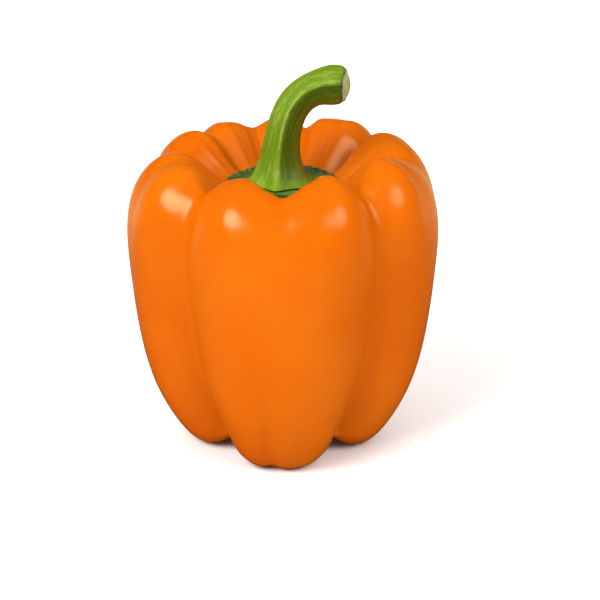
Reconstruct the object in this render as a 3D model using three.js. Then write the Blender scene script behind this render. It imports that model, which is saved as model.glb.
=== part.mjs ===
// A bell pepper with four lobes. It stands on its four feet. Its calyx and cut stem are in the hollow
// of its top. Millimetres, +Z up, seen from -Y. Azimuths are in degrees from -Y, turning towards +X.
import * as THREE from "three";

// The line over the middle of a lobe, from the hollow underneath, round the foot, up the side and over
// the shoulder into the hollow on top. Each row steers a smooth curve: radius, height, and how much of
// a groove's depth holds there at the foot and on the side, and of a fold's depth outside and on the rim.
const LOBE_LINE = [
  [0.0, 6.5, 0, 0, 0, 0],
  [6.5, 6.0, 0, 0, 0, 0],
  [12.5, 2.8, 0.4, 0, 0, 0],
  [19.5, -1.1, 0.6, 0, 0, 0],
  [26.5, 0.3, 0.75, 0, 0, 0],
  [32.6, 8.2, 0.85, 0.1, 0, 0],
  [38.7, 20, 0.5, 0.5, 0, 0],
  [42.4, 36, 0.1, 0.9, 0, 0],
  [44.2, 52, 0, 0.9, 0, 0],
  [46.5, 68, 0, 0.5, 0.35, 0],
  [44.5, 81.5, 0, 0, 1, 0],
  [35.5, 89, 0, 0, 0.4, 0.4],
  [26.5, 89, 0, 0, 0, 0.8],
  [19.5, 80, 0, 0, 0, 0.6],
  [13.5, 76, 0, 0, 0, 0.15],
  [6.5, 75.5, 0, 0, 0, 0],
  [0.0, 75.5, 0, 0, 0, 0],
];

// The grooves between the lobes, the notch in the front foot, and the flatter sides:
// azimuth, reach to each side, depth at the foot, depth on the side.
const GROOVES = [
  [-45, 44, 11, 8],
  [46, 44, 11, 8],
  [137, 44, 11, 8],
  [223, 44, 11, 8],
  [-5, 12, 1.3, 0],
  [90, 20, 0, 0.5],
  [270, 20, 0, 0.5],
];

// The folds that run over the shoulder into the hollow: azimuth, reach to each side, depth on the
// outside of the shoulder, depth on the rim and in the hollow.
const FOLDS = [
  [-45, 28, 8.5, 8],
  [0, 28, 2, 8.5],
  [44, 22, 9, 9.5],
  [70, 34, 2.5, 0],
  [94, 32, 3, 7],
  [130, 14, 8, 8],
  [169, 12, 4, 4],
  [196, 17, 3.5, 3.5],
  [224, 12, 3, 3],
  [253, 22, 6, 5.5],
  [272, 38, 2, 0.5],
  [285, 16, 2, 2.5],
];
const GROOVE_POWER = 2.5;
const FOLD_POWER = 2;
const VALLEY_ROUND = 3.5; // degrees of azimuth over which the bottom of a groove is rounded
const SHOULDER_HEIGHT = 88;
const SHOULDER_TILT = 0.015; // the +X shoulder stands higher than the -X shoulder by this share
const FOOT_TWIST = 2; // degrees that the feet are turned back from the shoulders
const FOOT_DEPTH = 0.08; // share by which the front and back feet stand further out

// Calyx: a toothed saucer under the stem.
const CALYX_X = -0.2;
const CALYX_FLAT_RADIUS = 11; // where the stem stands
const CALYX_TOP = 78.2;
const CALYX_BOTTOM = 76;
const CALYX_RADIUS = 15.3;
const CALYX_RISE = 2.4; // how much higher the underside is at the margin than in the middle
const CALYX_LIP = 0.8;
const CALYX_MIDDLE = 0.4; // shares of the radius where the outline has a point
const CALYX_SLOPE = 0.87;
const CALYX_EDGE = 0.98;
const CALYX_TEETH = 7;
const TOOTH_LENGTH = 0.6;
const LONG_TOOTH_AZIMUTH = 130;
const LONG_TOOTH_LENGTH = 0.8;
const LONG_TOOTH_WIDTH = 14;

// Stem: a five-ribbed stalk that flares at its foot and leans over to a cut end.
const STEM_PATH = [
  [-0.2, 0, 78.5],
  [-0.2, 0, 95],
  [1.8, 0, 108],
  [18.1, -3.5, 107.4],
];
const STEM_RADIUS = 4.75;
const STEM_FOOT_RADIUS = 10;
const STEM_FLARE_HEIGHT = 5;
const STEM_RIBS = 5;
const STEM_RIB_HEIGHT = 0.14; // from the flat between two ribs to a rib, as a share of the radius
const STEM_RIB_AZIMUTH = -9;
const STEM_KNOB_RADIUS = 5.6; // the swelling behind the cut
const STEM_KNOB_SETBACK = 3;
const STEM_KNOB_LENGTH = 4;
const STEM_CUT_ROUND = 1.2;
const STEM_CUT_DOME = 0.7;

const LAYOUT = {
  fruitAround: 96,
  fruitAlong: 44,
  calyxAround: 56,
  stemAround: 30,
  stemAlong: 26,
};

const fruitSkin = new THREE.MeshStandardMaterial({ color: 0xf57100, roughness: 0.25, metalness: 0 });
const calyxGreen = new THREE.MeshStandardMaterial({ color: 0x3f5f1a, roughness: 0.6, metalness: 0 });
const stemGreen = new THREE.MeshStandardMaterial({ color: 0x769f28, roughness: 0.5, metalness: 0 });

const radians = THREE.MathUtils.degToRad;
const degrees = THREE.MathUtils.radToDeg;

function moveVertices(geometry, move) {
  const position = geometry.attributes.position;
  const point = new THREE.Vector3();
  for (let i = 0; i < position.count; i++) {
    point.fromBufferAttribute(position, i);
    move(point);
    position.setXYZ(i, point.x, point.y, point.z);
  }
  geometry.deleteAttribute("normal");
  geometry.deleteAttribute("uv");
  return geometry;
}

// A point of the lobe line and its direction, at 0 underneath and 1 on top. The line is a uniform
// cubic B-spline, mirrored past both ends so that it crosses the axis level.
function lobeLine(along) {
  const last = LOBE_LINE.length - 1;
  const place = Math.min(along * last, last - 1e-9);
  const row = Math.floor(place);
  const f = place - row;
  const mirrored = ([radius, ...rest]) => [-radius, ...rest];
  const rows = [-1, 0, 1, 2].map((step) => {
    const i = row + step;
    if (i < 0) return mirrored(LOBE_LINE[-i]);
    if (i > last) return mirrored(LOBE_LINE[2 * last - i]);
    return LOBE_LINE[i];
  });
  const weights = [(1 - f) ** 3, 3 * f ** 3 - 6 * f ** 2 + 4, -3 * f ** 3 + 3 * f ** 2 + 3 * f + 1, f ** 3];
  const slopes = [-((1 - f) ** 2), 3 * f ** 2 - 4 * f, -3 * f ** 2 + 2 * f + 1, f ** 2];
  const blend = (factors, column) => rows.reduce((sum, values, k) => sum + factors[k] * values[column], 0);
  const [radius, height, foot, side, outer, rim] = rows[0].map((_, column) => blend(weights, column) / 6);
  const direction = new THREE.Vector2(blend(slopes, 0), blend(slopes, 1)).normalize();
  return { radius, height, foot, side, outer, rim, direction };
}

// 1 in the bottom of a valley, 0 past its reach.
function valley(azimuth, centre, reach, power) {
  const off = THREE.MathUtils.euclideanModulo(azimuth - centre + 180, 360) - 180;
  const rounded = (x) => Math.hypot(x, VALLEY_ROUND) - VALLEY_ROUND;
  return Math.max(0, 1 - rounded(off) / rounded(reach)) ** power;
}

function fruitPoint(azimuth, along) {
  const line = lobeLine(along);
  let depth = 0;
  for (const [centre, reach, foot, side] of GROOVES) {
    depth += (foot * line.foot + side * line.side) * valley(azimuth, centre, reach, GROOVE_POWER);
  }
  for (const [centre, reach, outer, rim] of FOLDS) {
    depth += (outer * line.outer + rim * line.rim) * valley(azimuth, centre, reach, FOLD_POWER);
  }
  const radius = line.radius - line.direction.y * depth;
  const height = line.height + line.direction.x * depth;
  const below = 1 - height / SHOULDER_HEIGHT;
  const turn = radians(azimuth - FOOT_TWIST * below);
  const x = radius * Math.sin(turn);
  const y = -radius * Math.cos(turn) * (1 + FOOT_DEPTH * below);
  const tilted = height * (1 + (SHOULDER_TILT * x) / SHOULDER_HEIGHT);
  return [x, y, Math.max(0, tilted)]; // the feet are flat where they stand
}

function makeFruit() {
  const ball = new THREE.SphereGeometry(1, LAYOUT.fruitAround, LAYOUT.fruitAlong);
  ball.rotateX(Math.PI / 2);
  return moveVertices(ball, (point) => {
    const azimuth = degrees(Math.atan2(point.x, -point.y));
    const along = 1 - Math.acos(THREE.MathUtils.clamp(point.z, -1, 1)) / Math.PI;
    point.set(...fruitPoint(azimuth, along));
  });
}

function calyxMargin(azimuth) {
  const teeth = TOOTH_LENGTH * Math.cos(CALYX_TEETH * radians(azimuth));
  const off = THREE.MathUtils.euclideanModulo(azimuth - LONG_TOOTH_AZIMUTH + 180, 360) - 180;
  return CALYX_RADIUS + teeth + LONG_TOOTH_LENGTH * Math.exp(-((off / LONG_TOOTH_WIDTH) ** 2));
}

function makeCalyx() {
  const underside = (share) => CALYX_BOTTOM + CALYX_RISE * share ** 3;
  const flat = CALYX_FLAT_RADIUS / CALYX_RADIUS;
  const outline = [
    [0, CALYX_BOTTOM],
    [CALYX_MIDDLE, underside(CALYX_MIDDLE)],
    [flat, underside(flat)],
    [CALYX_SLOPE, underside(CALYX_SLOPE)],
    [CALYX_EDGE, underside(CALYX_EDGE)],
    [1, underside(1) + CALYX_LIP / 2],
    [CALYX_EDGE, underside(CALYX_EDGE) + CALYX_LIP],
    [CALYX_SLOPE, underside(CALYX_SLOPE) + CALYX_LIP],
    [flat, CALYX_TOP],
    [CALYX_MIDDLE, CALYX_TOP],
    [0, CALYX_TOP],
  ];
  const profile = outline.map(([share, height]) => new THREE.Vector2(share, height));
  const saucer = new THREE.LatheGeometry(profile, LAYOUT.calyxAround);
  saucer.rotateX(Math.PI / 2);
  return moveVertices(saucer, (point) => {
    const share = Math.hypot(point.x, point.y);
    const azimuth = degrees(Math.atan2(point.x, -point.y));
    const waved = THREE.MathUtils.smoothstep(share, flat, 1);
    const scale = THREE.MathUtils.lerp(CALYX_RADIUS, calyxMargin(azimuth), waved);
    point.set(CALYX_X + point.x * scale, point.y * scale, point.z);
  });
}

function stemRadius(distance, length) {
  const flare = (STEM_FOOT_RADIUS - STEM_RADIUS) * Math.exp(-distance / STEM_FLARE_HEIGHT);
  const fromCut = length - distance;
  const fromKnob = (fromCut - STEM_KNOB_SETBACK) / STEM_KNOB_LENGTH;
  const knob = (STEM_KNOB_RADIUS - STEM_RADIUS) * Math.exp(-(fromKnob ** 2));
  const rounding = Math.max(0, 1 - fromCut / STEM_CUT_ROUND) ** 2 * STEM_CUT_DOME;
  return STEM_RADIUS + flare + knob - rounding;
}

function makeStem() {
  const path = new THREE.CubicBezierCurve3(...STEM_PATH.map((p) => new THREE.Vector3(...p)));
  const length = path.getLength();
  const rod = new THREE.CylinderGeometry(1, 1, 1, LAYOUT.stemAround, LAYOUT.stemAlong);
  rod.rotateX(Math.PI / 2);
  return moveVertices(rod, (point) => {
    const share = THREE.MathUtils.clamp(point.z + 0.5, 0, 1);
    const centre = path.getPointAt(share);
    const ahead = path.getTangentAt(share);
    const right = new THREE.Vector3(0, 1, 0).cross(ahead).normalize();
    const back = new THREE.Vector3().crossVectors(ahead, right);
    const across = Math.hypot(point.x, point.y);
    const around = Math.atan2(point.x, -point.y);
    const rib = 1 + STEM_RIB_HEIGHT * (0.5 - Math.abs(Math.sin((STEM_RIBS / 2) * around)));
    const radius = across * stemRadius(share * length, length) * rib;
    const dome = share === 1 ? STEM_CUT_DOME * (1 - across) : 0;
    const turn = around + radians(STEM_RIB_AZIMUTH);
    const x = radius * Math.sin(turn);
    const y = -radius * Math.cos(turn);
    point.copy(centre).addScaledVector(right, x).addScaledVector(back, y).addScaledVector(ahead, dome);
  });
}

function mesh(name, geometry, material) {
  const object = new THREE.Mesh(geometry, material);
  object.name = name;
  return object;
}

const pepper = new THREE.Group();
pepper.add(mesh("fruit", makeFruit(), fruitSkin));
pepper.add(mesh("calyx", makeCalyx(), calyxGreen));
pepper.add(mesh("stem", makeStem(), stemGreen));

// The origin is under the middle of the fruit, on the surface that it stands on.
const middle = new THREE.Box3().setFromObject(pepper).getCenter(new THREE.Vector3());
pepper.position.set(-middle.x, -middle.y, 0);

export default pepper;
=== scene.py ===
# %% [markdown]
# A bell pepper
# The pepper has three parts that the eye tells apart: the shiny orange fruit, the dark wrinkled calyx in the
# hollow of its top, and the ribbed green stem. The solids of the part are loaded first, and they fix the size
# and the place of everything that follows. Blender then gives each of them a finer surface and a finish.

# %% Load the solids
import math

import bpy
import numpy as np
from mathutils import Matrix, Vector


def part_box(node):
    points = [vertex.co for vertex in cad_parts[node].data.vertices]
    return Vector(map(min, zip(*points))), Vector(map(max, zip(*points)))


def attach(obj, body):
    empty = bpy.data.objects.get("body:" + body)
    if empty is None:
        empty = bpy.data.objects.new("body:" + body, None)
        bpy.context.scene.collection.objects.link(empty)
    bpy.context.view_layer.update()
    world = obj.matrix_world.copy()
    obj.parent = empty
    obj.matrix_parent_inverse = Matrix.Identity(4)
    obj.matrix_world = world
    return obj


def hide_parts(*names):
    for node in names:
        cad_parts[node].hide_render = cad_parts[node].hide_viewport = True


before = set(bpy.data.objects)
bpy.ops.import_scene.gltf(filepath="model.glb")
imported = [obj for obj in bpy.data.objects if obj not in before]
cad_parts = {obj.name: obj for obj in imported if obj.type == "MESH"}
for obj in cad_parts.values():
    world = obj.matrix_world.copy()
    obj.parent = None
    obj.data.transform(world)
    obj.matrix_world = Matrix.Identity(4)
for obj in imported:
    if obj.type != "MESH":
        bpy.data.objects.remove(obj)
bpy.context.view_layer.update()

MM = 0.001

# %% [markdown]
# The camera
# A studio shot of food is taken from well back with a long lens, so that the near side doesn't swell. This
# camera stands 0.8 m away and looks 19.5 degrees down. It is made from its target, distance and height
# angle, because those three are easier to reason about than a position and three rotations.

# %% Camera
CAMERA_TARGET = Vector((4.96, -0.27, 42.33)) * MM
CAMERA_DISTANCE = 800 * MM
CAMERA_ELEVATION = math.radians(19.5)
CAMERA_LENS = 165.6
SENSOR_WIDTH = 36
NEAREST_SEEN = 10 * MM


def place(name, data):
    """Puts an object with this data in the scene."""
    piece = bpy.data.objects.new(name, data)
    bpy.context.scene.collection.objects.link(piece)
    return piece


camera_data = bpy.data.cameras.new("camera")
camera_data.lens = CAMERA_LENS
camera_data.sensor_width = SENSOR_WIDTH
camera_data.clip_start = NEAREST_SEEN
camera = place("camera", camera_data)
backwards = Vector((0, -math.cos(CAMERA_ELEVATION), math.sin(CAMERA_ELEVATION)))
camera.location = CAMERA_TARGET + CAMERA_DISTANCE * backwards
camera.rotation_euler = (math.pi / 2 - CAMERA_ELEVATION, 0, 0)
bpy.context.scene.camera = camera
print("camera at", [round(v, 3) for v in camera.location])

# %% [markdown]
# Building node trees from a script
# Lights, materials and Geometry Nodes are all trees of nodes. One small helper adds a node, sets its options
# and fills its inputs: a socket is linked, and any other value is typed in. With it a tree reads like a sum.

# %% Helpers for nodes


def add(tree, kind, *values, **settings):
    """Adds a node. A value that is a socket is linked to the next input, None leaves that input as it is."""
    node = tree.nodes.new(kind)
    for option, value in settings.items():
        setattr(node, option, value)
    sockets = [s for s in node.inputs if s.enabled]
    for socket, value in zip(sockets, values):
        if isinstance(value, bpy.types.NodeSocket):
            tree.links.new(value, socket)
        elif value is not None:
            socket.default_value = value
    return node


def result(node, name=None):
    """The named output of a node, or its first one in use."""
    if name:
        return node.outputs[name]
    return next(s for s in node.outputs if s.enabled)


def calc(tree, operation, *values):
    return result(add(tree, "ShaderNodeMath", *values, operation=operation))


def times(tree, first, second):
    return calc(tree, "MULTIPLY", first, second)


def vector_calc(tree, operation, *values):
    return result(add(tree, "ShaderNodeVectorMath", *values, operation=operation))


def mix(tree, share, first, second, data_type="RGBA"):
    return result(add(tree, "ShaderNodeMix", share, first, second, data_type=data_type))


def remap(tree, value, from_low, from_high, to_low, to_high, smooth=False):
    """Moves a value from one range to another, and holds it at the ends."""
    kind = "SMOOTHSTEP" if smooth else "LINEAR"
    ranges = (from_low, from_high, to_low, to_high)
    return result(add(tree, "ShaderNodeMapRange", value, *ranges, interpolation_type=kind))


def fade(tree, value, start, end, share):
    """0 before the start, rising softly to the share at the end. A start past the end turns it round."""
    return remap(tree, value, start, end, 0.0, share, smooth=True)


print("node helpers: add, result, calc, times, vector_calc, mix, remap, fade")

# %% [markdown]
# The light
# The skin shows its lights: every hump carries two soft spots, one turned to the left and one to the right.
# Two softboxes in front make them. A real softbox is brightest in its middle and fades to its edges, and so
# do these, because a plain square light would leave square spots.

# %% Lights
SOFTBOX_DISTANCE = 3
SOFTBOX_CORE = 0.45
SOFTBOXES = {
    # name: azimuth and elevation in degrees, side in metres, radiance in the middle
    "softbox_left": (-42, 39, 2.4, 16.6),
    "softbox_right": (46, 38, 2.5, 7.5),
}


def aim(azimuth, elevation):
    """The direction of a light, with azimuth 0 towards the camera and 90 towards +X."""
    a = math.radians(azimuth)
    e = math.radians(elevation)
    return Vector((math.sin(a) * math.cos(e), -math.cos(a) * math.cos(e), math.sin(e)))


def softbox_glow(tree):
    """Full strength in the core of the light, fading to nothing at its rim."""
    on_light = add(tree, "ShaderNodeNewGeometry").outputs["Parametric"]
    # The place on the light runs from 0 to 1 both ways, so twice that less 1 is measured from its middle.
    from_middle = vector_calc(tree, "SUBTRACT", vector_calc(tree, "SCALE", on_light, 2.0), (1.0, 1.0, 0.0))
    flat = vector_calc(tree, "MULTIPLY", from_middle, (1.0, 1.0, 0.0))
    off = add(tree, "ShaderNodeVectorMath", flat, operation="LENGTH").outputs["Value"]
    return fade(tree, off, 1.0, SOFTBOX_CORE, 1.0)


def softbox(name, azimuth, elevation, side, radiance):
    data = bpy.data.lights.new(name, "AREA")
    data.shape = "SQUARE"
    data.size = side
    data.energy = radiance * math.pi * side ** 2
    data.use_nodes = True
    tree = data.node_tree
    tree.links.new(softbox_glow(tree), tree.nodes["Emission"].inputs["Strength"])
    light = place(name, data)
    direction = aim(azimuth, elevation)
    light.location = CAMERA_TARGET + SOFTBOX_DISTANCE * direction
    light.rotation_euler = direction.to_track_quat("Z", "Y").to_euler()
    print(name, "energy", round(data.energy, 2))


for name, values in SOFTBOXES.items():
    softbox(name, *values)

# %% [markdown]
# The studio
# The world stands for the room. It lights the pepper evenly, most from the ceiling. What the glossy skin
# mirrors is another matter: a dark room, with a cream band low behind that draws thin bright lines on the
# ridges. In a studio, black cards do this, because a skin that mirrors white walls looks chalky.

# %% World
WALL_STRENGTH = 0.6
CEILING_STRENGTH = 1.15
MIRRORED_ROOM = 0.04
MIRRORED_BAND = 0.6
MIRRORED_COLOUR = (1, 0.72, 0.38, 1)
BAND_BEHIND = 0.7
BAND_TOP = 0.3

world = bpy.data.worlds.new("white_studio")
world.use_nodes = True
world.cycles.sampling_method = "NONE"
sky = world.node_tree
direction = result(add(sky, "ShaderNodeTexCoord"), "Generated")
_, away, up = add(sky, "ShaderNodeSeparateXYZ", direction).outputs
even = remap(sky, up, 0.0, 1.0, WALL_STRENGTH, CEILING_STRENGTH, smooth=True)
band = times(sky, fade(sky, away, 0.0, BAND_BEHIND, 1.0), fade(sky, up, BAND_TOP, 0.0, 1.0))
mirrored = calc(sky, "MULTIPLY_ADD", band, MIRRORED_BAND, MIRRORED_ROOM)
glossy = add(sky, "ShaderNodeLightPath").outputs["Is Glossy Ray"]
strength = mix(sky, glossy, even, mirrored, "FLOAT")
sky.links.new(strength, sky.nodes["Background"].inputs["Strength"])
tint = mix(sky, glossy, (1, 1, 1, 1), MIRRORED_COLOUR)
sky.links.new(tint, sky.nodes["Background"].inputs["Color"])
bpy.context.scene.world = world
bpy.context.scene.view_settings.view_transform = "Standard"
print("world from", WALL_STRENGTH, "at the walls to", CEILING_STRENGTH, "overhead")

# %% [markdown]
# Meshes from tables of points
# Fruit and calyx are computed as a table of rows of points, so one helper turns such a table into a closed
# mesh: the rows are rings, and a single point closes each end. Another fits the points to the box of the
# solid that the piece stands for, so that a finer surface never changes a size. A third stores a number on
# each point, which a material can read later, such as how deep the point lies in a groove.

# %% Helpers for meshes


def fit_to_node(points, node):
    """Stretches the points a little, so that their box is the box of the solid."""
    low, high = (np.array(corner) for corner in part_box(node))
    scale = (high - low) / np.ptp(points, axis=0)
    print(node, "stretched by", np.round(scale, 6))
    return low + (points - points.min(axis=0)) * scale


def ring_mesh(name, rings, bottom, top, node):
    """A closed mesh from rings of points (rows, around, 3) in millimetres and its two poles."""
    rows, around = rings.shape[:2]
    points = fit_to_node(np.concatenate([rings.reshape(-1, 3), [bottom, top]]) * MM, node)
    index = np.arange(rows * around).reshape(rows, around)
    after = np.roll(index, -1, axis=1)
    quads = np.stack([index[:-1], after[:-1], after[1:], index[1:]], axis=-1).reshape(-1, 4)
    low = np.stack([after[0], index[0], np.full(around, rows * around)], axis=-1)
    high = np.stack([index[-1], after[-1], np.full(around, rows * around + 1)], axis=-1)
    mesh = bpy.data.meshes.new(name)
    mesh.from_pydata(points.tolist(), [], quads.tolist() + low.tolist() + high.tolist())
    mesh.shade_smooth()
    mesh.update()
    return mesh


def point_values(mesh, name, on_rings, at_bottom, at_top):
    """Stores one number for each point, which a material can read by name."""
    values = np.concatenate([on_rings.ravel(), [at_bottom, at_top]]).astype(np.float32)
    mesh.attributes.new(name, "FLOAT", "POINT").data.foreach_set("value", values)


print("mesh helpers: fit_to_node, ring_mesh, point_values")

# %% [markdown]
# The fruit
# A bell pepper grows from four chambers, and each makes a lobe. One line over the middle of a lobe gives the
# body, as the profile of a pot does. It could be drawn as a curve and spun, but the grooves between the lobes
# need to know where on the line they are, so the line is a B-spline of a few rows in a table. Each row holds
# its place and how strongly the grooves and folds press in there.

# %% The line over a lobe
# Radius and height in millimetres, then how much of a groove's foot depth and side depth holds there,
# and how much of a fold's outer depth and rim depth.
LOBE_LINE = np.array([
    (0.0, 6.5, 0, 0, 0, 0),
    (6.5, 6.0, 0, 0, 0, 0),
    (12.5, 2.8, 0.4, 0, 0, 0),
    (19.5, -1.1, 0.6, 0, 0, 0),
    (26.5, 0.3, 0.75, 0, 0, 0),
    (32.6, 8.2, 0.85, 0.1, 0, 0),
    (38.7, 20, 0.5, 0.5, 0, 0),
    (42.4, 36, 0.1, 0.9, 0, 0),
    (44.2, 52, 0, 0.9, 0, 0),
    (46.5, 68, 0, 0.5, 0.35, 0),
    (44.5, 81.5, 0, 0, 1, 0),
    (35.5, 89, 0, 0, 0.4, 0.4),
    (26.5, 89, 0, 0, 0, 0.8),
    (19.5, 80, 0, 0, 0, 0.6),
    (13.5, 76, 0, 0, 0, 0.15),
    (6.5, 75.5, 0, 0, 0, 0),
    (0.0, 75.5, 0, 0, 0, 0),
])


def lobe_line(along):
    """The line and its slopes, at 0 underneath and 1 on top: a cubic B-spline, mirrored past both ends."""
    mirror = np.array([-1, 1, 1, 1, 1, 1])
    rows = np.vstack([LOBE_LINE[1] * mirror, LOBE_LINE, LOBE_LINE[-2] * mirror])
    place_on_line = along * (len(LOBE_LINE) - 1)
    row = np.minimum(place_on_line.astype(int), len(LOBE_LINE) - 2)
    f = place_on_line - row
    weights = [(1 - f) ** 3, 3 * f ** 3 - 6 * f ** 2 + 4, -3 * f ** 3 + 3 * f ** 2 + 3 * f + 1, f ** 3]
    slopes = [-(1 - f) ** 2, 3 * f ** 2 - 4 * f, -3 * f ** 2 + 2 * f + 1, f ** 2]
    value = sum(w[:, None] * rows[row + k] for k, w in enumerate(weights)) / 6
    slope = sum(s[:, None] * rows[row + k] for k, s in enumerate(slopes)) / 2
    return value, slope


print("lobe line from", lobe_line(np.array([0.0]))[0][0, :2], "to", lobe_line(np.array([1.0]))[0][0, :2])

# %% [markdown]
# Grooves, folds and furrows
# Between the lobes run grooves, from the feet up the sides, and shorter folds cross the shoulder where the
# flesh bulges round the stem. Fine furrows line the hollow. Sculpting could press all of these in, but in a
# table every groove keeps a place, a width and a depth that can be read and changed.

# %% Their places, widths and depths
# Azimuth and reach in degrees, then depths in millimetres: at the foot and on the side for a groove,
# on the outside of the shoulder and on the rim for a fold.
GROOVES = [
    (-45, 44, 11, 8),
    (46, 44, 11, 8),
    (137, 44, 11, 8),
    (223, 44, 11, 8),
    (-5, 12, 1.3, 0),
    (90, 20, 0, 0.5),
    (270, 20, 0, 0.5),
]
FOLDS = [
    (-45, 28, 8.5, 8),
    (0, 28, 2, 8.5),
    (44, 22, 9, 9.5),
    (70, 34, 2.5, 0),
    (94, 32, 3, 7),
    (130, 14, 8, 8),
    (169, 12, 4, 4),
    (196, 17, 3.5, 3.5),
    (224, 12, 3, 3),
    (253, 22, 6, 5.5),
    (272, 38, 2, 0.5),
    (285, 16, 2, 2.5),
]
# Waves round the fruit, where each starts in radians, and its depth in millimetres in the hollow.
FURROWS = [(26, 0.4, 0.08), (41, 2.0, 0.07), (67, 5.1, 0.05)]
print(len(GROOVES), "grooves,", len(FOLDS), "folds and", len(FURROWS), "sets of furrows")

# %% How deep the skin is pressed in
# How steep a valley is, over how many degrees its bottom is round, and where on the line the furrows are.
GROOVE_POWER = 2.5
FOLD_POWER = 2
VALLEY_ROUND = 3.5
FURROWS_MIDDLE = 0.76
FURROWS_REACH = 0.14


def degrees_off(azimuth, centre):
    """How far a direction is turned from the centre, from -180 to 180."""
    return (azimuth - centre + 180) % 360 - 180


def waves(azimuth, table):
    """The sum of waves that run round a piece."""
    turn = np.radians(azimuth)
    return sum(size * np.sin(count * turn + start) for count, start, size in table)


def valley(azimuth, centre, reach, power):
    """1 in the bottom of a valley, 0 past its reach."""
    rounded = np.hypot(degrees_off(azimuth, centre), VALLEY_ROUND) - VALLEY_ROUND
    return np.clip(1 - rounded / (math.hypot(reach, VALLEY_ROUND) - VALLEY_ROUND), 0, 1) ** power


def pressed_depth(azimuth, along, foot, side, outer, rim):
    """How deep the skin is pressed in, in millimetres."""
    depth = np.zeros_like(azimuth)
    for centre, reach, foot_depth, side_depth in GROOVES:
        depth += (foot_depth * foot + side_depth * side) * valley(azimuth, centre, reach, GROOVE_POWER)
    for centre, reach, outer_depth, rim_depth in FOLDS:
        depth += (outer_depth * outer + rim_depth * rim) * valley(azimuth, centre, reach, FOLD_POWER)
    furrowed = np.clip(1 - np.abs(along - FURROWS_MIDDLE) / FURROWS_REACH, 0, 1)
    return depth + np.sqrt(furrowed) * waves(azimuth, FURROWS)


centre, reach = GROOVES[0][:2]
halfway_out = float(valley(centre + reach / 2, centre, reach, GROOVE_POWER))
print("halfway out, a groove keeps", round(halfway_out, 2), "of its depth")

# %% [markdown]
# The skin's mesh
# A grid of directions round the fruit and places along the line becomes the skin: each point starts on the
# line and moves inwards along its normal by the pressed depth. No pepper is quite regular, so the feet are
# turned a little against the shoulder, stretched from front to back, and one shoulder stands higher. What
# would reach under the floor is cut flat, and those are the small spots that the pepper stands on.

# %% Skin mesh
# The height in millimetres, the twist in degrees, and the tilt and the feet's depth as shares.
SHOULDER_HEIGHT = 88
SHOULDER_TILT = 0.015
FOOT_TWIST = 2
FOOT_DEPTH = 0.08
FRUIT_AROUND = 320
FRUIT_ALONG = 200


def fruit_points(azimuth, along):
    """Points of the skin in millimetres, and how deep each lies under the smooth body."""
    value, slope = lobe_line(along)
    radius, height, *pressing = value.T
    depth = pressed_depth(azimuth, along, *pressing)
    steps = np.hypot(slope[:, 0], slope[:, 1])
    radius = radius - slope[:, 1] / steps * depth
    height = height + slope[:, 0] / steps * depth
    below = 1 - height / SHOULDER_HEIGHT
    turn = np.radians(azimuth - FOOT_TWIST * below)
    x = radius * np.sin(turn)
    y = -radius * np.cos(turn) * (1 + FOOT_DEPTH * below)
    height = np.maximum(0, height * (1 + SHOULDER_TILT * x / SHOULDER_HEIGHT))
    return np.stack([x, y, height], axis=-1), depth


azimuths = np.arange(FRUIT_AROUND) * 360 / FRUIT_AROUND
alongs = np.linspace(0, 1, FRUIT_ALONG + 2)
azimuth_grid, along_grid = np.meshgrid(azimuths, alongs)
skin_points, skin_depth = fruit_points(azimuth_grid.ravel(), along_grid.ravel())
skin_rows = skin_points.reshape(len(alongs), FRUIT_AROUND, 3)
fruit_mesh = ring_mesh("fruit_skin", skin_rows[1:-1], skin_rows[0, 0], skin_rows[-1, 0], "fruit")
fruit = place("fruit_skin", fruit_mesh)
print("fruit:", len(fruit_mesh.polygons), "faces")

# %% What the skin knows of its place
HOLLOW_FROM = 0.72
HOLLOW_TO = 0.80
SCAR_RADIUS = 1.6
HALFWAY = 0.5


def without_poles(values):
    """The values on the rings alone, without the two rows that shrink to a pole."""
    return values.reshape(len(alongs), FRUIT_AROUND)[1:-1]


groove_depth = without_poles(skin_depth)
in_hollow = np.clip((without_poles(along_grid) - HOLLOW_FROM) / (HOLLOW_TO - HOLLOW_FROM), 0, 1)
from_axis = without_poles(np.hypot(skin_points[:, 0], skin_points[:, 1]))
scar = np.exp(-(from_axis / SCAR_RADIUS) ** 2) * (without_poles(along_grid) < HALFWAY)
point_values(fruit_mesh, "depth", groove_depth, 0, 0)
point_values(fruit_mesh, "hollow", in_hollow, 0, 1)
point_values(fruit_mesh, "scar", scar, 1, 0)
print("deepest groove", round(groove_depth.max(), 1), "mm, points on the scar", int((scar > HALFWAY).sum()))

# %% [markdown]
# The calyx
# The calyx is what is left of the flower's green leaves: a thin saucer with blunt teeth, pressed on the flesh
# and dried into crumples that run out from the stem. It is turned like a plate from a profile. A disc with a
# Displace modifier would do for the crumples, but its thin rim would fold over itself, and here the height
# of every ring is known.

# %% The calyx's profile
# Sizes in millimetres. The lip's turn is in degrees, and its start and share are shares of the radius.
CALYX_X = -0.2
CALYX_FLAT_RADIUS = 11
CALYX_TOP = 78.2
CALYX_BOTTOM = 76
CALYX_RADIUS = 15.3
CALYX_RISE = 2.4
CALYX_LIP = 0.8
CALYX_INNERMOST = 0.1
CALYX_ROWS = 30
LIP_START = 0.97
LIP_SHARE = 0.025
LIP_TURN = 60
LIP_ROWS = 5
TOP_ROWS = 6
flat_share = CALYX_FLAT_RADIUS / CALYX_RADIUS


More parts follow.
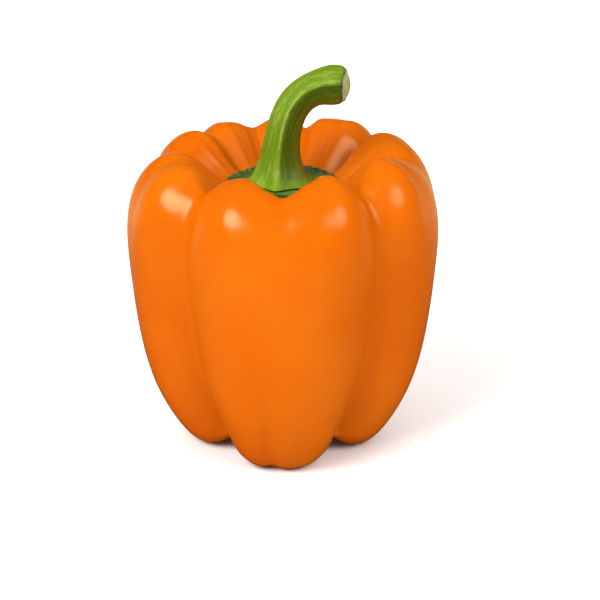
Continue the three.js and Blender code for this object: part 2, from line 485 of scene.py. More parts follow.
def calyx_profile():
    """Share of the radius and height, from the middle underneath, round the lip, to the middle on top."""
    under = []
    for share in np.linspace(CALYX_INNERMOST, LIP_START, CALYX_ROWS):
        under.append((share, CALYX_BOTTOM + CALYX_RISE * share ** 3))
    lip_height = CALYX_BOTTOM + CALYX_RISE + CALYX_LIP / 2
    lip = []
    for turn in np.radians(np.linspace(-LIP_TURN, LIP_TURN, LIP_ROWS)):
        lip.append((1 - LIP_SHARE + LIP_SHARE * math.cos(turn), lip_height + CALYX_LIP / 2 * math.sin(turn)))
    over = []
    for share in np.linspace(LIP_START, flat_share, CALYX_ROWS):
        rise = (share - flat_share) / (1 - flat_share)
        over.append((share, CALYX_TOP + (CALYX_BOTTOM + CALYX_RISE + CALYX_LIP - CALYX_TOP) * rise ** 2))
    top = [(share, CALYX_TOP) for share in np.linspace(flat_share, CALYX_INNERMOST, TOP_ROWS)[1:]]
    return np.array(under + lip + over + top)


profile = calyx_profile()
print("calyx profile:", len(profile), "rows, up to", round(profile[:, 1].max(), 2), "mm")

# %% [markdown]
# Teeth, a torn margin and crumples
# The margin is waved by the same rule as the solid's, and torn a little by faster waves. The crumples are
# waves of several lengths laid over each other, so that no two are alike. They lift the upper face only,
# because the lower one lies on the flesh, and they calm down at the very rim, which stays thin.

# %% Calyx mesh
CALYX_AROUND = 360
CALYX_TEETH = 7
TOOTH_LENGTH = 0.6
LONG_TOOTH_AZIMUTH = 130
LONG_TOOTH_LENGTH = 0.8
LONG_TOOTH_WIDTH = 14
# Waves round the margin, where each starts in radians, and its depth in millimetres.
TORN_EDGE = [(29, 1.3, 0.22), (47, 0.2, 0.16), (83, 3.0, 0.10)]
# Waves round the calyx, where each starts, how far it turns on its way out, and its share of the height.
RIPPLES = [(11, 0.9, 3.0, 0.30), (19, 0.4, -4.0, 0.28), (31, 2.1, 6.0, 0.22), (53, 4.0, -9.0, 0.20)]
CRUMPLE_HEIGHT = 1.0
RIM_CALM = 12


def calyx_margin(azimuth):
    """The radius of the margin in millimetres."""
    teeth = TOOTH_LENGTH * np.cos(CALYX_TEETH * np.radians(azimuth))
    off = degrees_off(azimuth, LONG_TOOTH_AZIMUTH)
    long_tooth = LONG_TOOTH_LENGTH * np.exp(-(off / LONG_TOOTH_WIDTH) ** 2)
    return CALYX_RADIUS + teeth + long_tooth + waves(azimuth, TORN_EDGE)


around_degrees = np.arange(CALYX_AROUND) * 360 / CALYX_AROUND
share, azimuth = np.meshgrid(profile[:, 0], around_degrees, indexing="ij")
waved = np.clip((share - flat_share) / (1 - flat_share), 0, 1)
waved = waved ** 2 * (3 - 2 * waved)
reach = share * (CALYX_RADIUS + (calyx_margin(azimuth) - CALYX_RADIUS) * waved)
turn = np.radians(azimuth)
crumples = sum(size * np.sin(count * turn + start + twist * share) for count, start, twist, size in RIPPLES)
is_upper = (np.arange(len(profile)) > CALYX_ROWS + LIP_ROWS // 2)[:, None]
height = profile[:, 1][:, None] + CRUMPLE_HEIGHT * crumples * waved * (1 - waved ** RIM_CALM) * is_upper
calyx_rings = np.stack([CALYX_X + reach * np.sin(turn), -reach * np.cos(turn), height], axis=-1)
calyx_poles = (CALYX_X, 0, CALYX_BOTTOM), (CALYX_X, 0, CALYX_TOP)
calyx_mesh = ring_mesh("calyx_leaf", calyx_rings, *calyx_poles, "calyx")
calyx = place("calyx_leaf", calyx_mesh)
print("calyx:", len(calyx_mesh.polygons), "faces, longest tooth at", round(reach.max(), 1), "mm")

# %% Where the calyx is still fresh
# Millimetres from the stalk's axis between which the green beside the stalk gives way to the dry leaf.
FRESH_FROM = 11.0
FRESH_TO = 13.0

fresh = np.clip((FRESH_TO - reach) / (FRESH_TO - FRESH_FROM), 0, 1)
point_values(calyx_mesh, "fresh", fresh, 1, 1)
print("share of the calyx's points that are fresh", round(float(fresh.mean()), 2))

# %% [markdown]
# The stem
# The stem is a stalk with five ribs. It flares where it grows out of the calyx, bends over and ends in
# a swelling with a clean cut. It follows a path, so Geometry Nodes make it: a flat grid is rolled round the
# path, and its radius is worked out from the distance along it. The path itself is one Bezier stretch.

# %% Stem path
# The start, the start's handle, the end's handle and the end, in millimetres.
STEM_PATH = [(-0.2, 0, 78.5), (-0.2, 0, 95), (1.8, 0, 108), (18.1, -3.5, 107.4)]
PATH_STEPS = 64

stem_curve = bpy.data.curves.new("stem_path", "CURVE")
stem_curve.dimensions = "3D"
stem_curve.resolution_u = PATH_STEPS
spline = stem_curve.splines.new("BEZIER")
spline.bezier_points.add(1)
path_points = [Vector(point) * MM for point in STEM_PATH]
first, last = spline.bezier_points
first.co, first.handle_right, last.handle_left, last.co = path_points
first.handle_left = path_points[0] - (path_points[1] - path_points[0])
last.handle_right = path_points[3] + (path_points[3] - path_points[2])
stem_path = place("stem_path", stem_curve)
print("stem path", round(spline.calc_length() / MM, 1), "mm long")

# %% [markdown]
# The sizes of the stalk
# Every size of the stalk is a named input of its tree, so it can be made thicker, longer in the flare or with
# more ribs without touching a node. The radius is a sum of simple terms: the shaft, a flare that fades away
# from the foot, a bell for the swelling, and a loss right at the cut that rounds its edge.

# %% Inputs of the stalk tree, and its radius
STALK_SIZES = [
    ("Geometry", "Geometry", None),
    ("Radius", "Float", 4.75 * MM),
    ("Foot radius", "Float", 10 * MM),
    ("Flare height", "Float", 5 * MM),
    ("Foot knobs", "Int", 7),
    ("Foot knob height", "Float", 0.035),
    ("Ribs", "Int", 5),
    ("Rib height", "Float", 0.14),
    ("Rib azimuth", "Float", math.radians(-9)),
    ("Rib twist", "Float", math.radians(-16)),
    ("Tip radius", "Float", 5.6 * MM),
    ("Tip setback", "Float", 3 * MM),
    ("Tip length", "Float", 4 * MM),
    ("Cut rounding", "Float", 1.2 * MM),
    ("Cut edge loss", "Float", 0.7 * MM),
    ("Cut height", "Float", 1.6 * MM),
    ("Fibre height", "Float", 0.16 * MM),
    ("Around", "Int", 161),
    ("Along", "Int", 201),
    ("Stalk material", "Material", None),
    ("Cut material", "Material", None),
]


def square(tree, value):
    return times(tree, value, value)


def bell(tree, value, centre, width):
    """1 at the centre, falling away to both sides."""
    off = calc(tree, "DIVIDE", calc(tree, "SUBTRACT", value, centre), width)
    return calc(tree, "EXPONENT", times(tree, square(tree, off), -1.0))


def smooth_radius(tree, given, distance, length):
    """The stalk's radius without ribs: the shaft, the flare at its foot, the swelling and the rounded cut."""
    flares_from_foot = calc(tree, "DIVIDE", distance, given["Flare height"])
    fading = calc(tree, "EXPONENT", times(tree, flares_from_foot, -1.0))
    flare = times(tree, calc(tree, "SUBTRACT", given["Foot radius"], given["Radius"]), fading)
    from_cut = calc(tree, "SUBTRACT", length, distance)
    swelling = calc(tree, "SUBTRACT", given["Tip radius"], given["Radius"])
    tip = times(tree, swelling, bell(tree, from_cut, given["Tip setback"], given["Tip length"]))
    near_cut = calc(tree, "SUBTRACT", 1.0, calc(tree, "DIVIDE", from_cut, given["Cut rounding"]))
    near_cut = calc(tree, "MAXIMUM", near_cut, 0.0)
    edge_loss = times(tree, square(tree, near_cut), given["Cut edge loss"])
    shaft = calc(tree, "ADD", calc(tree, "ADD", given["Radius"], flare), tip)
    return calc(tree, "SUBTRACT", shaft, edge_loss)


print("the stalk tree has", len(STALK_SIZES), "inputs")

# %% [markdown]
# Ribs, knobs and fibres
# Five ribs run all along the stalk, with narrow crests and round valleys, like the flutes of a column. Low
# knobs stand where it grows out of the calyx. The finest relief is the fibres, a noise that is read on a
# ring, so that it closes without a seam, and stretched along the stalk.

# %% Relief of the stalk
KNOB_CENTRE = 1 * MM
KNOB_SPREAD = 2 * MM
FIBRES_AROUND = 5.0
FIBRES_ALONG = 2.0
# Scale, detail, roughness and lacunarity.
FIBRE_NOISE = (5.0, 1.3, 2.0, 0.6)
NOISE_MIDDLE = 0.5


def ribs_and_knobs(tree, given, angle, distance):
    """What the radius is multiplied by for the ribs, and for the knobs near the foot."""
    half_ribs = times(tree, given["Ribs"], 0.5)
    from_rib = calc(tree, "ABSOLUTE", calc(tree, "SINE", times(tree, angle, half_ribs)))
    rib = times(tree, calc(tree, "SUBTRACT", 0.5, from_rib), given["Rib height"])
    wave = calc(tree, "COSINE", times(tree, angle, given["Foot knobs"]))
    at_foot = bell(tree, distance, KNOB_CENTRE, KNOB_SPREAD)
    knob = times(tree, times(tree, wave, at_foot), given["Foot knob height"])
    return calc(tree, "ADD", 1.0, calc(tree, "ADD", rib, knob))


def on_a_ring(tree, sine, cosine, around, along):
    """A place on a ring that moves on as it goes along, where a noise closes without a seam."""
    to_side = times(tree, sine, around)
    to_front = times(tree, cosine, around)
    return result(add(tree, "ShaderNodeCombineXYZ", to_side, to_front, along))


def fibres(tree, given, angle, share):
    along = times(tree, share, FIBRES_ALONG)
    ring = on_a_ring(tree, calc(tree, "SINE", angle), calc(tree, "COSINE", angle), FIBRES_AROUND, along)
    noise = result(add(tree, "ShaderNodeTexNoise", ring, *FIBRE_NOISE))
    return times(tree, calc(tree, "SUBTRACT", noise, NOISE_MIDDLE), given["Fibre height"])


print("fibres: noise of scale", FIBRE_NOISE[0], "on a ring of radius", FIBRES_AROUND)

# %% [markdown]
# Rolling a grid round the path
# A grid has two directions, u and v. u becomes the angle round the stalk. v becomes the share of the way
# along it, but for its first and last stretch, where the radius closes to nothing and makes the foot's
# underside and the cut. The cut is slightly domed, as it dries. Merge by Distance then closes the seam and
# the two ends, and the angle and v are stored for the materials.

# %% Helpers for whole trees


def new_tree(name, kind, inputs, outputs):
    """A node group with named inputs and outputs. Each input is (name, kind of socket, value)."""
    tree = bpy.data.node_groups.new(name, kind)
    for title, socket, value in inputs:
        made = tree.interface.new_socket(title, in_out="INPUT", socket_type="NodeSocket" + socket)
        if value is not None:
            made.default_value = value
    for title, socket in outputs:
        tree.interface.new_socket(title, in_out="OUTPUT", socket_type="NodeSocket" + socket)
    start = tree.nodes.new("NodeGroupInput")
    end = tree.nodes.new("NodeGroupOutput")
    return tree, start.outputs, end.inputs


def store_vector(tree, mesh, name, vector):
    settings = {"data_type": "FLOAT_VECTOR", "domain": "POINT"}
    return result(add(tree, "GeometryNodeStoreNamedAttribute", mesh, None, name, vector, **settings))


def read_vector(tree, name):
    return result(add(tree, "GeometryNodeInputNamedAttribute", name, data_type="FLOAT_VECTOR"))


print("tree helpers: new_tree, store_vector, read_vector")

# %% Where the points of the grid go


def path_frame(tree, given, share):
    """A place on the path, and its directions ahead, to the right and to the back."""
    sample = add(tree, "GeometryNodeSampleCurve", mode="FACTOR")
    tree.links.new(given["Geometry"], sample.inputs["Curves"])
    tree.links.new(share, sample.inputs["Factor"])
    ahead = result(sample, "Tangent")
    right = vector_calc(tree, "NORMALIZE", vector_calc(tree, "CROSS_PRODUCT", (0.0, 1.0, 0.0), ahead))
    back = vector_calc(tree, "CROSS_PRODUCT", ahead, right)
    return result(sample, "Position"), ahead, right, back


def stalk_points(tree, given, angle, share, foot_cap, cut_cap):
    """Where each point of the grid goes."""
    position, ahead, right, back = path_frame(tree, given, share)
    length = result(add(tree, "GeometryNodeCurveLength", given["Geometry"]))
    distance = times(tree, share, length)
    smooth = smooth_radius(tree, given, distance, length)
    ribbed = times(tree, smooth, ribs_and_knobs(tree, given, angle, distance))
    relief = calc(tree, "ADD", ribbed, fibres(tree, given, angle, share))
    radius = times(tree, relief, times(tree, foot_cap, cut_cap))
    twist = times(tree, given["Rib twist"], square(tree, share))
    turned = calc(tree, "ADD", calc(tree, "ADD", angle, given["Rib azimuth"]), twist)
    to_right = times(tree, calc(tree, "SINE", turned), radius)
    to_front = times(tree, calc(tree, "COSINE", turned), radius)
    dome = times(tree, calc(tree, "SUBTRACT", 1.0, square(tree, cut_cap)), given["Cut height"])
    target = vector_calc(tree, "ADD", position, vector_calc(tree, "SCALE", right, to_right))
    target = vector_calc(tree, "SUBTRACT", target, vector_calc(tree, "SCALE", back, to_front))
    return vector_calc(tree, "ADD", target, vector_calc(tree, "SCALE", ahead, dome))


print("grid helpers: path_frame, stalk_points")

# %% The stalk tree
FOOT_SHARE = 0.05
CUT_SHARE = 0.10
MERGE_DISTANCE = 0.001 * MM


def stalk_tree():
    outputs = [("Geometry", "Geometry")]
    tree, given, final = new_tree("Ribbed stalk", "GeometryNodeTree", STALK_SIZES, outputs)
    # The size of the grid doesn't matter, because every point of it is moved.
    grid = add(tree, "GeometryNodeMeshGrid", 1.0, 1.0, given["Around"], given["Along"])
    kept = store_vector(tree, result(grid, "Mesh"), "rolled", result(grid, "UV Map"))
    u, v, _ = add(tree, "ShaderNodeSeparateXYZ", read_vector(tree, "rolled")).outputs
    angle = times(tree, u, math.tau)
    share = remap(tree, v, FOOT_SHARE, 1 - CUT_SHARE, 0.0, 1.0)
    foot_cap = remap(tree, v, 0.0, FOOT_SHARE, 0.0, 1.0)
    cut_cap = remap(tree, v, 1 - CUT_SHARE, 1.0, 1.0, 0.0)
    target = stalk_points(tree, given, angle, share, foot_cap, cut_cap)
    moved = add(tree, "GeometryNodeSetPosition", kept, None, target)
    way_round = (calc(tree, "SINE", angle), calc(tree, "COSINE", angle))
    for_materials = add(tree, "ShaderNodeCombineXYZ", *way_round, v)
    named = store_vector(tree, result(moved), "stalk", result(for_materials))
    closed = add(tree, "GeometryNodeMergeByDistance", named, None, MERGE_DISTANCE)
    soft = add(tree, "GeometryNodeSetShadeSmooth", result(closed), None, True)
    real = add(tree, "GeometryNodeRealizeInstances", result(soft))
    green = add(tree, "GeometryNodeSetMaterial", result(real), None, given["Stalk material"])
    on_cut = calc(tree, "GREATER_THAN", v, 1 - CUT_SHARE)
    ends = add(tree, "GeometryNodeSetMaterial", result(green), on_cut, given["Cut material"])
    tree.links.new(result(ends), final[0])
    return tree


ribbed_stalk = stalk_tree()
print("the stalk tree has", len(ribbed_stalk.nodes), "nodes")

# %% [markdown]
# The rim of the cut
# Where a knife went through the stalk, its skin dries first and leaves a dotted brown line round the pale
# flesh. The dots are tiny crumbs of dried skin. Geometry Nodes pick some of the rim's points by chance, with
# a fixed seed, and set a small ball on each, because dots at regular steps would look like a bead chain.

# %% Tree for the specks
SPECK_SIZES = [
    ("Geometry", "Geometry", None),
    ("Speck radius", "Float", 0.26 * MM),
    ("Share kept", "Float", 0.22),
    ("Smallest", "Float", 0.5),
    ("Largest", "Float", 1.2),
    ("Seed", "Int", 4),
    ("Speck material", "Material", None),
]
RIM_TOLERANCE = 0.001
SPECK_SUBDIVISIONS = 1


def specks_tree():
    outputs = [("Geometry", "Geometry")]
    tree, given, final = new_tree("Dried specks", "GeometryNodeTree", SPECK_SIZES, outputs)
    along = add(tree, "ShaderNodeSeparateXYZ", read_vector(tree, "stalk")).outputs["Z"]
    on_rim = result(add(tree, "FunctionNodeCompare", along, 1 - CUT_SHARE, RIM_TOLERANCE, operation="EQUAL"))
    drawn = (given["Share kept"], None, given["Seed"])
    chance = result(add(tree, "FunctionNodeRandomValue", *drawn, data_type="BOOLEAN"))
    picked = result(add(tree, "FunctionNodeBooleanMath", on_rim, chance, operation="AND"))
    dots = add(tree, "GeometryNodeMeshToPoints", given["Geometry"], picked)
    ball = add(tree, "GeometryNodeMeshIcoSphere", given["Speck radius"], SPECK_SUBDIVISIONS)
    limits = (given["Smallest"], given["Largest"], None, given["Seed"])
    sizes = result(add(tree, "FunctionNodeRandomValue", *limits, data_type="FLOAT"))
    on_dots = add(tree, "GeometryNodeInstanceOnPoints", result(dots), None, result(ball, "Mesh"))
    tree.links.new(sizes, on_dots.inputs["Scale"])
    real = add(tree, "GeometryNodeRealizeInstances", result(on_dots))
    brown = add(tree, "GeometryNodeSetMaterial", result(real), None, given["Speck material"])
    tree.links.new(result(brown), final[0])
    return tree


dried_specks = specks_tree()
print("the specks tree has", len(dried_specks.nodes), "nodes")

# %% [markdown]
# Finishes
# Plants are never one flat colour, so a shared group mixes two colours by a soft pattern, broad patches with
# finer ones in them. Each material feeds the group its own colours and scales and lays further colours over
# it by masks. What is the same all over a surface, such as its sheen, is a number on the shader itself.

# %% Shared effect: two colours in soft patches
BROAD_DETAIL = (2.0, 0.5)
FINE_DETAIL = (3.0, 0.6)
BROAD_RANGE = (0.32, 0.68)
FINE_RANGE = (0.35, 0.65)


def patches_tree():
    inputs = [
        ("Vector", "Vector", None),
        ("Light colour", "Color", (1, 1, 1, 1)),
        ("Dark colour", "Color", (0, 0, 0, 1)),
        ("Patch scale", "Float", 30.0),
        ("Fine scale", "Float", 300.0),
        ("Fine share", "Float", 0.3),
    ]
    outputs = [("Color", "Color"), ("Mask", "Float")]
    tree, given, final = new_tree("Soft patches", "ShaderNodeTree", inputs, outputs)
    broad = result(add(tree, "ShaderNodeTexNoise", given["Vector"], given["Patch scale"], *BROAD_DETAIL))
    fine = result(add(tree, "ShaderNodeTexNoise", given["Vector"], given["Fine scale"], *FINE_DETAIL))
    broad_mask = remap(tree, broad, *BROAD_RANGE, 0.0, 1.0, smooth=True)
    fine_mask = remap(tree, fine, *FINE_RANGE, 0.0, 1.0)
    mask = mix(tree, given["Fine share"], broad_mask, fine_mask, "FLOAT")
    tree.links.new(mix(tree, mask, given["Dark colour"], given["Light colour"]), final["Color"])
    tree.links.new(mask, final["Mask"])
    return tree


soft_patches = patches_tree()
print("shared effect:", soft_patches.name, "with", len(soft_patches.nodes), "nodes")

# %% Helpers for materials


def new_material(name, finish):
    """A material whose shader holds the given values on its own sockets."""
    material = bpy.data.materials.new(name)
    material.use_nodes = True
    shader = material.node_tree.nodes["Principled BSDF"]
    for socket, value in finish.items():
        shader.inputs[socket].default_value = value
    return material, material.node_tree, shader


def patches(tree, vector, light, dark, patch_scale, fine_scale, fine_share):
    """The shared effect with its values. Returns its colour and its mask."""
    group = tree.nodes.new("ShaderNodeGroup")
    group.node_tree = soft_patches
    tree.links.new(vector, group.inputs["Vector"])
    group.inputs["Light colour"].default_value = (*light, 1)
    group.inputs["Dark colour"].default_value = (*dark, 1)
    group.inputs["Patch scale"].default_value = patch_scale
    group.inputs["Fine scale"].default_value = fine_scale
    group.inputs["Fine share"].default_value = fine_share
    return group.outputs["Color"], group.outputs["Mask"]


def lay_over(tree, mask, below, colour):
    """Lays a colour over another one, as strongly as the mask says."""
    return mix(tree, mask, below, (*colour, 1))


def object_place(tree):
    return result(add(tree, "ShaderNodeTexCoord"), "Object")


def stored_value(tree, name):
    return add(tree, "ShaderNodeAttribute", attribute_name=name).outputs["Fac"]


def bump(tree, shader, strength, height, pattern):
    made = add(tree, "ShaderNodeBump", strength, height, None, pattern)
    tree.links.new(result(made), shader.inputs["Normal"])


print("material helpers: new_material, patches, lay_over, object_place, stored_value, bump")

# %% [markdown]
# The skin's finish
# The skin is a clear wax over orange flesh. Light enters the flesh a few millimetres, which subsurface
# scattering shows as a soft glow in the grooves, and the wax gives small clear spots of light, so the
# roughness is low. The wax's mirror image is tinted warm, because a neutral one turns the orange pink. A
# paint in one colour would look like plastic: here a darker, redder orange is painted into the grooves as
# painted shade, and the blossom has left a dry brown scar underneath.

# %% Skin material
SKIN_LIGHT = (0.440, 0.090, 0.0)
SKIN_DARK = (0.410, 0.074, 0.0)
# Painted shade: a darker, redder orange for the grooves.
SKIN_GROOVE_SHADE = (0.43, 0.072, 0.0)
SKIN_SCAR = (0.09, 0.045, 0.012)
# Where a layer starts, where it reaches its full share, and that share: by the depth in millimetres for
# the painted groove shade, and by the scar's own strength for the scar.
GROOVE_SHADE_LAYER = (2.0, 11.0, 0.5)
SCAR_LAYER = (0.3, 0.7, 1.0)
PORE_SCALE = 900.0
PORE_STRENGTH = 0.05
PORE_HEIGHT = 0.05 * MM
SMOOTHEST_SKIN = 0.18
ROUGHEST_SKIN = 0.23
HOLLOW_ROUGHNESS = 0.06
SKIN_FINISH = {
    "IOR": 1.36,
    "Specular Tint": (1, 0.85, 0.5, 1),
    "Subsurface Weight": 0.35,
    "Subsurface Radius": (1.0, 0.3, 0.08),
    "Subsurface Scale": 3 * MM,
}


def skin_material():
    material, tree, shader = new_material("waxy_orange_skin", SKIN_FINISH)
    where = object_place(tree)
    scales = {"patch_scale": 32.0, "fine_scale": 420.0, "fine_share": 0.12}
    colour, mask = patches(tree, where, SKIN_LIGHT, SKIN_DARK, **scales)
    # Painted shade: the groove's depth lays the darker orange over the skin.
    colour = lay_over(tree, fade(tree, stored_value(tree, "depth"), *GROOVE_SHADE_LAYER), colour, SKIN_GROOVE_SHADE)
    colour = lay_over(tree, fade(tree, stored_value(tree, "scar"), *SCAR_LAYER), colour, SKIN_SCAR)
    tree.links.new(colour, shader.inputs["Base Color"])
    pores = result(add(tree, "ShaderNodeTexNoise", where, PORE_SCALE, *BROAD_DETAIL))
    bump(tree, shader, PORE_STRENGTH, PORE_HEIGHT, pores)
    rough = remap(tree, mask, 0.0, 1.0, SMOOTHEST_SKIN, ROUGHEST_SKIN)
    rough = calc(tree, "MULTIPLY_ADD", stored_value(tree, "hollow"), HOLLOW_ROUGHNESS, rough)
    tree.links.new(rough, shader.inputs["Roughness"])
    return material


fruit.data.materials.append(skin_material())
print("fruit wears", fruit.data.materials[0].name)

# %% [markdown]
# The calyx's finish
# A dried leaf is dull and dark, with paler flecks where its skin has cracked. The flecks are the shared
# pattern at a fine scale, and the same pattern is fed to a Bump node, so that colour and relief agree.
# Beside the stalk the leaf is still alive, so a fresh green is laid over it there.

# %% Calyx material
CALYX_LIGHT = (0.050, 0.105, 0.018)
CALYX_DARK = (0.008, 0.024, 0.004)
CALYX_FRESH = (0.075, 0.150, 0.010)
LEAST_FRESH = 0.4
FULLY_FRESH_FROM = 0.5
CALYX_BUMP = 0.6
CALYX_BUMP_HEIGHT = 0.25 * MM
CALYX_FINISH = {"Roughness": 0.55, "IOR": 1.3}


def calyx_material():
    material, tree, shader = new_material("dried_calyx", CALYX_FINISH)
    scales = {"patch_scale": 350.0, "fine_scale": 1400.0, "fine_share": 0.5}
    colour, mask = patches(tree, object_place(tree), CALYX_LIGHT, CALYX_DARK, **scales)
    flecked = remap(tree, mask, 0.0, FULLY_FRESH_FROM, LEAST_FRESH, 1.0)
    ragged = times(tree, stored_value(tree, "fresh"), flecked)
    tree.links.new(lay_over(tree, ragged, colour, CALYX_FRESH), shader.inputs["Base Color"])
    bump(tree, shader, CALYX_BUMP, CALYX_BUMP_HEIGHT, mask)
    return material


calyx.data.materials.append(calyx_material())
print("calyx wears", calyx.data.materials[0].name)

# %% [markdown]
# The stalk's finish
# The stalk is light green and streaked along its fibres. Painted shade darkens the side that faces +X at the
# foot and down at the tip, with a painted orange-brown reflection of the fruit under the bend; a painted
# highlight runs along the crest of its front rib, and the stalk is yellow-green at the foot. All of this
# follows the stalk and not the room, so the colours are laid over each other by where a point is round the
# stalk and along it, which the tree has stored. A texture painted on an unwrapped stalk would do as well,
# but its seam would show.

# %% The stalk's colours, and where each is laid
STALK_LIGHT = (0.120, 0.195, 0.005)
STALK_DARK = (0.066, 0.122, 0.002)
STALK_FOOT = (0.11, 0.21, 0.006)
STALK_TIP = (0.062, 0.115, 0.003)
# Painted shade for the side of the stalk that faces +X at the foot and down at the tip.
STALK_SHADE = (0.020, 0.036, 0.0)
# Painted reflection of the orange fruit under the bend, with painted shade: a dark orange-brown.
STALK_REFLECTED_ORANGE = (0.095, 0.062, 0.001)
# Pale streaks along the fibres, and the painted highlight on the front rib's crest.
STALK_PALE_STREAK_AND_HIGHLIGHT = (0.26, 0.34, 0.09)
RIM_BROWN = (0.035, 0.02, 0.006)
RIM_WIDTH = 0.015
# For each layer: where it starts, where it reaches its full share, and that share.
TIP_LAYER = (0.5, 0.8, 0.45)
PALE_LAYER = (0.62, 0.85, 0.28)
SHADE_LAYER = (0.02, 0.20, 0.9)
UNDER_REFLECTION_LAYER = (0.6, 0.95, 0.7)
CREST_HIGHLIGHT_LAYER = (0.06, 0.0, 0.6)
CREST_HIGHLIGHT_START = (0.26, 0.36, 1.0)
CREST_HIGHLIGHT_END = (0.72, 0.60, 1.0)
FOOT_LAYER = (0.12, 0.06, 0.45)
RIM_LAYER = (1 - CUT_SHARE - RIM_WIDTH, 1 - CUT_SHARE, 0.3)
print("the brown rim starts at", round(RIM_LAYER[0], 3), "of the stalk's length")

# %% Stalk material
SHADE_ON_STREAKS = 0.8
STREAKS_ALONG = 6.0
STALK_BUMP = 0.5
STALK_BUMP_HEIGHT = 0.15 * MM
STALK_FINISH = {"Roughness": 0.38, "IOR": 1.36, "Specular Tint": (0.9, 1, 0.4, 1)}


def stalk_place(tree):
    """Sine and cosine of the way round the stalk, and the share of the way along."""
    stalk = add(tree, "ShaderNodeAttribute", attribute_name="stalk").outputs["Vector"]
    return add(tree, "ShaderNodeSeparateXYZ", stalk).outputs


def crest_highlight_mask(tree, sine, cosine, along):
    """Where the painted highlight runs: the crest of the rib that faces the front, but for the foot and the
    tip.
    """
    near_crest = fade(tree, calc(tree, "ABSOLUTE", sine), *CREST_HIGHLIGHT_LAYER)
    on_front = calc(tree, "GREATER_THAN", cosine, 0.0)
    shaft = times(tree, fade(tree, along, *CREST_HIGHLIGHT_START), fade(tree, along, *CREST_HIGHLIGHT_END))
    return times(tree, times(tree, near_crest, on_front), shaft)


def stalk_material():
    material, tree, shader = new_material("green_stalk", STALK_FINISH)
    sine, cosine, along = stalk_place(tree)
    streaks = on_a_ring(tree, sine, cosine, FIBRES_AROUND, times(tree, along, STREAKS_ALONG))
    scales = {"patch_scale": 0.9, "fine_scale": 4.5, "fine_share": 0.55}
    colour, mask = patches(tree, streaks, STALK_LIGHT, STALK_DARK, **scales)
    streaked = remap(tree, mask, 0.0, 1.0, 1.0, SHADE_ON_STREAKS)
    shade = times(tree, fade(tree, sine, *SHADE_LAYER), streaked)
    colour = lay_over(tree, fade(tree, along, *TIP_LAYER), colour, STALK_TIP)
    colour = lay_over(tree, fade(tree, mask, *PALE_LAYER), colour, STALK_PALE_STREAK_AND_HIGHLIGHT)
    # Painted shade on the side that faces +X at the foot and down at the tip.
    colour = lay_over(tree, shade, colour, STALK_SHADE)
    # Painted reflection and shade: the fruit's orange mirrored under the bend.
    colour = lay_over(tree, fade(tree, sine, *UNDER_REFLECTION_LAYER), colour, STALK_REFLECTED_ORANGE)
    # Painted highlight along the crest of the front rib.
    colour = lay_over(tree, crest_highlight_mask(tree, sine, cosine, along), colour, STALK_PALE_STREAK_AND_HIGHLIGHT)
    colour = lay_over(tree, fade(tree, along, *FOOT_LAYER), colour, STALK_FOOT)
    colour = lay_over(tree, fade(tree, along, *RIM_LAYER), colour, RIM_BROWN)
    tree.links.new(colour, shader.inputs["Base Color"])
    bump(tree, shader, STALK_BUMP, STALK_BUMP_HEIGHT, mask)
    return material


green_stalk = stalk_material()
print(green_stalk.name, "has", len(green_stalk.node_tree.nodes), "nodes")

# %% [markdown]
# The cut's finish
# The cut is dry pith: pale, dull and porous, with a brown edge where the skin ends. The specks on the edge
# are the same brown, broken up by the shared pattern at its finest scale.

# %% Cut and speck materials
CUT_LIGHT = (0.28, 0.29, 0.10)
CUT_DARK = (0.17, 0.17, 0.05)
CUT_RIM_LAYER = (1 - CUT_SHARE + RIM_WIDTH, 1 - CUT_SHARE, 0.6)
CUT_BUMP = 0.6
CUT_BUMP_HEIGHT = 0.2 * MM
SPECK_DARK = (0.012, 0.007, 0.003)


def cut_material():
    material, tree, shader = new_material("dry_cut", {"Roughness": 0.75})
    scales = {"patch_scale": 500.0, "fine_scale": 2200.0, "fine_share": 0.5}
    colour, mask = patches(tree, object_place(tree), CUT_LIGHT, CUT_DARK, **scales)
    along = stalk_place(tree)[2]
    colour = lay_over(tree, fade(tree, along, *CUT_RIM_LAYER), colour, RIM_BROWN)
    tree.links.new(colour, shader.inputs["Base Color"])
    bump(tree, shader, CUT_BUMP, CUT_BUMP_HEIGHT, mask)
    return material


def speck_material():
    material, tree, shader = new_material("dried_skin", {"Roughness": 0.8})
    scales = {"patch_scale": 900.0, "fine_scale": 3000.0, "fine_share": 0.5}
    colour, _ = patches(tree, object_place(tree), RIM_BROWN, SPECK_DARK, **scales)
    tree.links.new(colour, shader.inputs["Base Color"])
    return material


dry_cut = cut_material()
dried_skin = speck_material()
print("made", dry_cut.name, "and", dried_skin.name)

# %% [markdown]
# Running the trees
# A Geometry Nodes modifier makes its mesh anew at every change. Once the shape is settled, the evaluated
# object is turned into a plain mesh and the modifier goes, so that the stalk is ordinary geometry that any
# program can read. The stalk is then fitted to its solid's box, and the specks are grown on the fitted rim.

# %% Stalk and specks


def run_tree(base, tree, name, inputs):
    """Runs a Geometry Nodes tree on an object, and returns the result as a plain mesh in a new object."""
    modifier = base.modifiers.new(tree.name, "NODES")
    modifier.node_group = tree
    identifiers = {item.name: item.identifier for item in tree.interface.items_tree if item.in_out == "INPUT"}
    for title, value in inputs.items():
        modifier[identifiers[title]] = value
    bpy.context.view_layer.update()
    graph = bpy.context.evaluated_depsgraph_get()
    settled = base.evaluated_get(graph)
    mesh = bpy.data.meshes.new_from_object(settled, preserve_all_data_layers=True, depsgraph=graph)
    mesh.name = name
    base.modifiers.remove(modifier)
    return place(name, mesh)


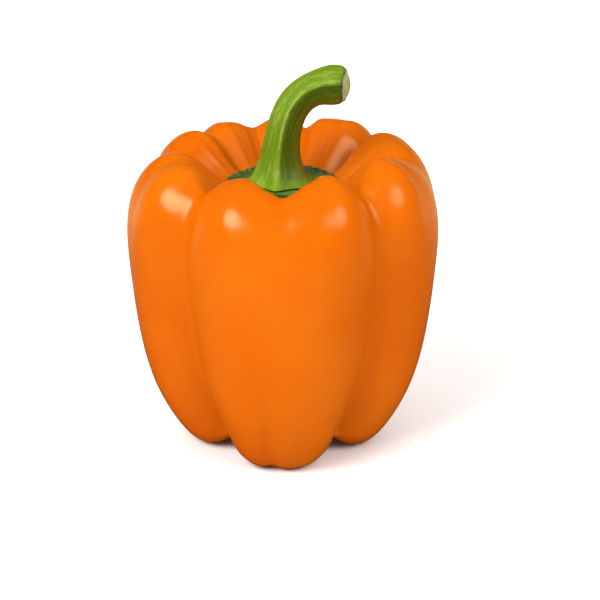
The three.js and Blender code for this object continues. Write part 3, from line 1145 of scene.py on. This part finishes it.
stalk_inputs = {"Stalk material": green_stalk, "Cut material": dry_cut}
stem = run_tree(stem_path, ribbed_stalk, "stem_stalk", stalk_inputs)
bpy.data.objects.remove(stem_path)
stem_points = fit_to_node(np.array([v.co for v in stem.data.vertices]), "stem")
stem.data.vertices.foreach_set("co", stem_points.ravel())
stem.data.update()
specks = run_tree(stem, dried_specks, "cut_rim_specks", {"Speck material": dried_skin})
print("stem faces", len(stem.data.polygons), "speck faces", len(specks.data.polygons))

# %% [markdown]
# The floor
# The pepper stands on a plain pale surface that runs out of the picture, so there is no horizon. It only
# catches the soft shadow and the orange bounce under the feet. In reflections it is dim in front and cream
# behind, as the room is, because a mirrored white floor would turn the orange skin pink.

# %% Floor
FLOOR_HALF = 4.0
FLOOR_COLOUR = (0.80, 0.77, 0.75)
MIRRORED_FLOOR_FRONT = (0.02, 0.015, 0.008, 1)
MIRRORED_FLOOR_BACK = (0.42, 0.30, 0.16, 1)
BACK_FROM = 0.02
BACK_TO = 0.3

corners = [(x * FLOOR_HALF, y * FLOOR_HALF, 0) for x, y in ((-1, -1), (1, -1), (1, 1), (-1, 1))]
floor_mesh = bpy.data.meshes.new("floor")
floor_mesh.from_pydata(corners, [], [(0, 1, 2, 3)])
floor = place("floor", floor_mesh)
floor_finish, tree, shader = new_material("pale_floor", {"Roughness": 0.9, "Specular IOR Level": 0.1})
_, away, _ = add(tree, "ShaderNodeSeparateXYZ", object_place(tree)).outputs
dim = mix(tree, fade(tree, away, BACK_FROM, BACK_TO, 1.0), MIRRORED_FLOOR_FRONT, MIRRORED_FLOOR_BACK)
in_mirror = add(tree, "ShaderNodeLightPath").outputs["Is Glossy Ray"]
tree.links.new(mix(tree, in_mirror, (*FLOOR_COLOUR, 1), dim), shader.inputs["Base Color"])
floor.data.materials.append(floor_finish)
print("floor", FLOOR_HALF * 2, "m wide")

# %% [markdown]
# Joining the frame
# Every piece rides on the one rigid body, and the solid it stands for is hidden.
# The specks stand for no solid: they are an addition to the stem.

# %% Ride and replace
PIECES = {
    "fruit": (fruit, "skin"),
    "calyx": (calyx, "calyx"),
    "stem": (stem, "stem"),
}
for node, (piece, slot) in PIECES.items():
    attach(piece, "root")
    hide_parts(node)
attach(specks, "root")
